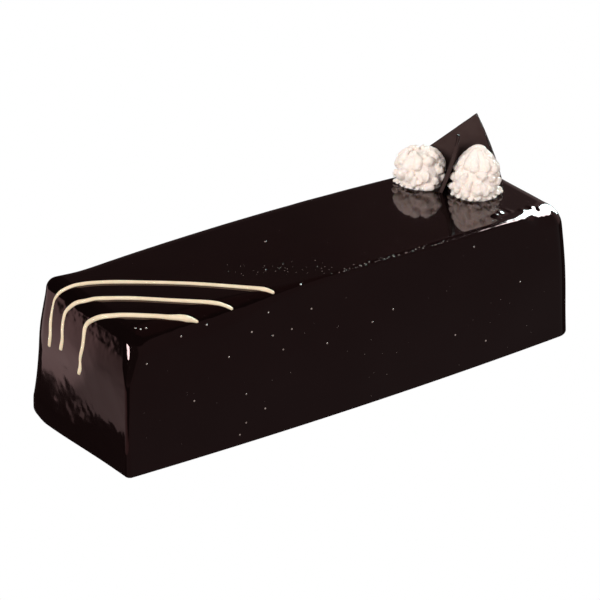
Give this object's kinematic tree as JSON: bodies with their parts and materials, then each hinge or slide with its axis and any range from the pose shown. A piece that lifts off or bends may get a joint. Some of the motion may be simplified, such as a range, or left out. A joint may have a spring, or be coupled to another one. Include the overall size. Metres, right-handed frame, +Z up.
{
  "type": "ice cream cake",
  "caption": "Long ice cream cake bar under dark chocolate mirror glaze, with slanting white chocolate lines, piped cream rosettes and thin chocolate plates.",
  "frame": {"origin": "centre of the bar's flat underside, on the surface that it stands on", "axes": "+X along the bar towards the end with the rosettes, +Y towards its long back side, +Z up"},
  "size_m": [0.3026, 0.1038, 0.119],
  "materials": {
    "dark_glaze": "mirror glaze, almost black brown, very smooth and shiny",
    "white_chocolate": "ivory white chocolate, satin; the piped lines that are fused to the cake",
    "whipped_cream": "matt whipped cream, warm white",
    "dark_chocolate": "tempered dark chocolate, satin"
  },
  "bodies": {
    "root": {"cake": "dark_glaze", "cream_rosette_back": "whipped_cream", "cream_rosette_front": "whipped_cream", "chocolate_plate_tall": "dark_chocolate", "chocolate_plate_slim": "dark_chocolate"}
  },
  "joints": []
}
